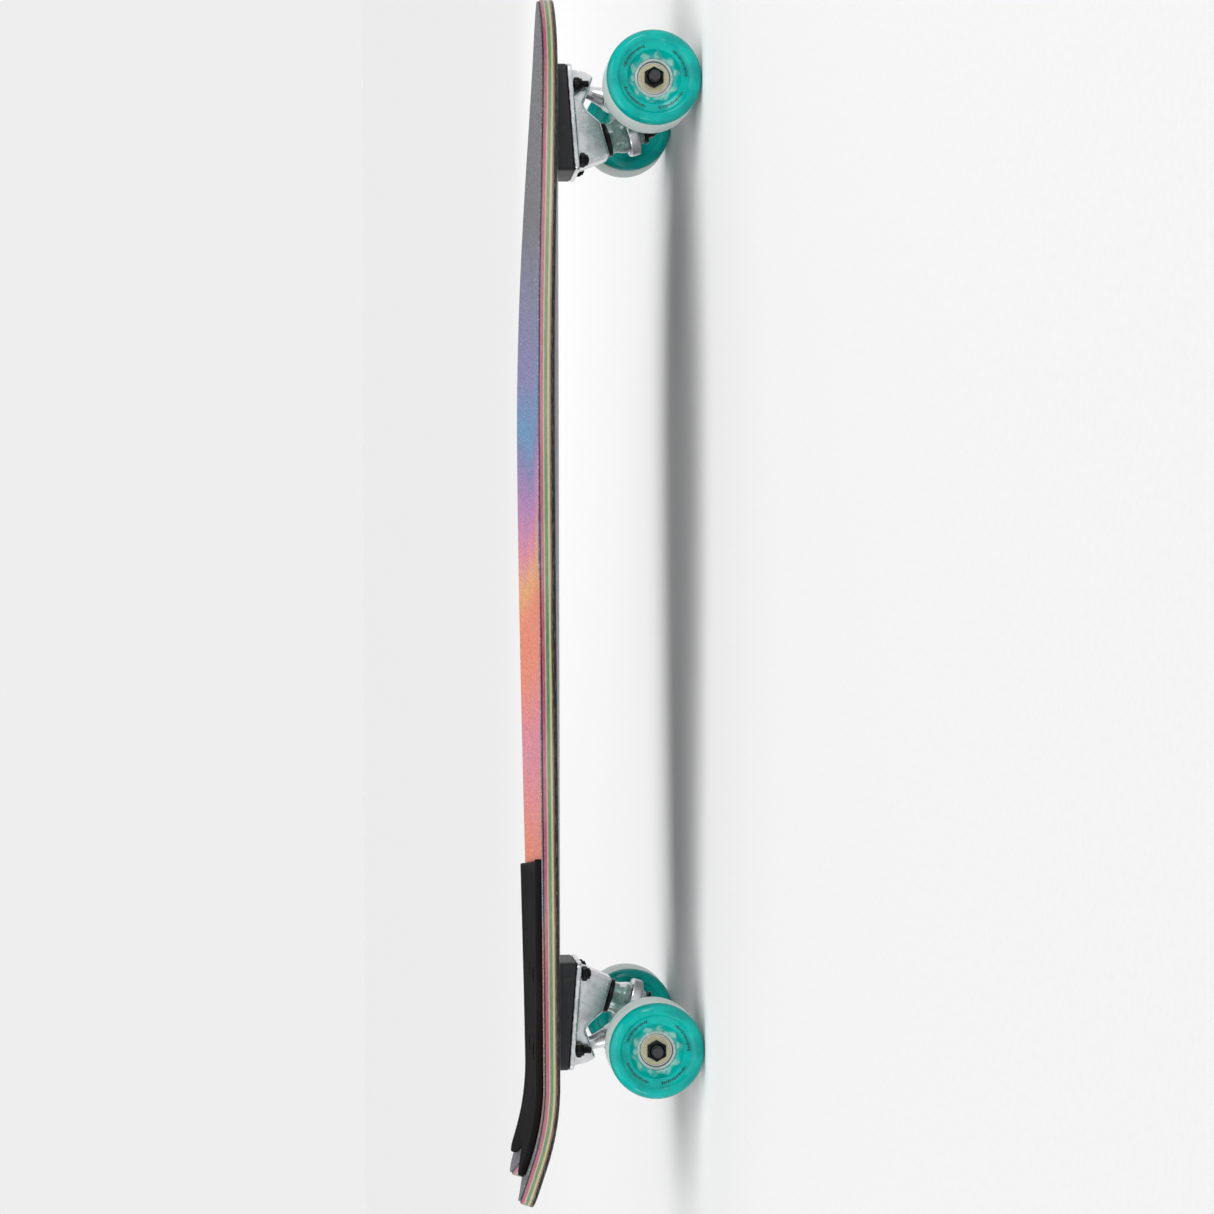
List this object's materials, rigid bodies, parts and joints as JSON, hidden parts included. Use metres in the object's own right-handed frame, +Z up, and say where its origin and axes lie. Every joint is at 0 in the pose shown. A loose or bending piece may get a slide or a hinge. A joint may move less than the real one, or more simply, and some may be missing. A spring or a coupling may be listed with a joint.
{
  "type": "skateboard",
  "caption": "Surf-style cruiser skateboard with a swallow tail, grooved tail pad, steering trucks on wedge risers and large clear soft wheels.",
  "frame": {"origin": "on the ground under the middle of the deck, half way between nose tip and tail tips and between the rails", "axes": "+X to the nose, +Y to the board's left side, +Z up through the deck; the wheels stand on Z = 0"},
  "size_m": [0.8497, 0.239, 0.123],
  "materials": {
    "deck_maple": "dyed maple plies under clear lacquer",
    "grip_tape": "gritty printed grip tape",
    "eva_foam": "matt grooved foam",
    "riser_rubber": "matt moulded",
    "cast_aluminium": "polished casting",
    "cup_urethane": "satin",
    "bushing_urethane": "clear gloss",
    "black_steel": "black oxide",
    "axle_steel": "plain",
    "wheel_urethane": "translucent gloss with a frosted tread",
    "bearing_steel": "ground steel with cream shields"
  },
  "bodies": {
    "board": {"deck": "deck_maple", "grip_tape": "grip_tape", "tail_pad": "eva_foam", "front_riser_pad": "riser_rubber", "front_baseplate": "cast_aluminium", "front_pivot_cup": "cup_urethane", "front_kingpin": "black_steel", "front_boardside_washer": "black_steel", "front_roadside_washer": "black_steel", "front_boardside_bushing": "bushing_urethane", "front_roadside_bushing": "bushing_urethane", "front_kingpin_nut": "black_steel", "front_mounting_screw_1": "black_steel", "front_mounting_nut_1": "black_steel", "front_mounting_screw_2": "black_steel", "front_mounting_nut_2": "black_steel", "front_mounting_screw_3": "black_steel", "front_mounting_nut_3": "black_steel", "front_mounting_screw_4": "black_steel", "front_mounting_nut_4": "black_steel", "rear_riser_pad": "riser_rubber", "rear_baseplate": "cast_aluminium", "rear_pivot_cup": "cup_urethane", "rear_kingpin": "black_steel", "rear_boardside_washer": "black_steel", "rear_roadside_washer": "black_steel", "rear_boardside_bushing": "bushing_urethane", "rear_roadside_bushing": "bushing_urethane", "rear_kingpin_nut": "black_steel", "rear_mounting_screw_1": "black_steel", "rear_mounting_nut_1": "black_steel", "rear_mounting_screw_2": "black_steel", "rear_mounting_nut_2": "black_steel", "rear_mounting_screw_3": "black_steel", "rear_mounting_nut_3": "black_steel", "rear_mounting_screw_4": "black_steel", "rear_mounting_nut_4": "black_steel"},
    "front_steering": {"front_hanger": "cast_aluminium", "front_axle": "axle_steel", "front_near_axle_nut": "black_steel", "front_far_axle_nut": "black_steel"},
    "front_near_roller": {"front_near_wheel": "wheel_urethane", "front_near_inner_bearing": "bearing_steel", "front_near_outer_bearing": "bearing_steel"},
    "front_far_roller": {"front_far_wheel": "wheel_urethane", "front_far_inner_bearing": "bearing_steel", "front_far_outer_bearing": "bearing_steel"},
    "rear_steering": {"rear_hanger": "cast_aluminium", "rear_axle": "axle_steel", "rear_near_axle_nut": "black_steel", "rear_far_axle_nut": "black_steel"},
    "rear_near_roller": {"rear_near_wheel": "wheel_urethane", "rear_near_inner_bearing": "bearing_steel", "rear_near_outer_bearing": "bearing_steel"},
    "rear_far_roller": {"rear_far_wheel": "wheel_urethane", "rear_far_inner_bearing": "bearing_steel", "rear_far_outer_bearing": "bearing_steel"}
  },
  "joints": [
    {"name": "front_steer", "type": "hinge", "parent": "board", "child": "front_steering", "pos_m": [0.36167, 0, 0.07448], "axis": [0.6547, 0, 0.7559], "range_deg": [-15, 15], "stiffness_Nm_per_rad": 120, "deforming": ["front_boardside_bushing", "front_roadside_bushing"]},
    {"name": "front_near_spin", "type": "hinge", "parent": "front_steering", "child": "front_near_roller", "pos_m": [0.349, 0, 0.0325], "axis": [0, 1, 0], "continuous": true},
    {"name": "front_far_spin", "type": "hinge", "parent": "front_steering", "child": "front_far_roller", "pos_m": [0.349, 0, 0.0325], "axis": [0, 1, 0], "continuous": true},
    {"name": "rear_steer", "type": "hinge", "parent": "board", "child": "rear_steering", "pos_m": [-0.32167, 0, 0.07448], "axis": [0.6547, 0, -0.7559], "range_deg": [-15, 15], "stiffness_Nm_per_rad": 120, "deforming": ["rear_boardside_bushing", "rear_roadside_bushing"]},
    {"name": "rear_near_spin", "type": "hinge", "parent": "rear_steering", "child": "rear_near_roller", "pos_m": [-0.309, 0, 0.0325], "axis": [0, 1, 0], "continuous": true},
    {"name": "rear_far_spin", "type": "hinge", "parent": "rear_steering", "child": "rear_far_roller", "pos_m": [-0.309, 0, 0.0325], "axis": [0, 1, 0], "continuous": true}
  ]
}
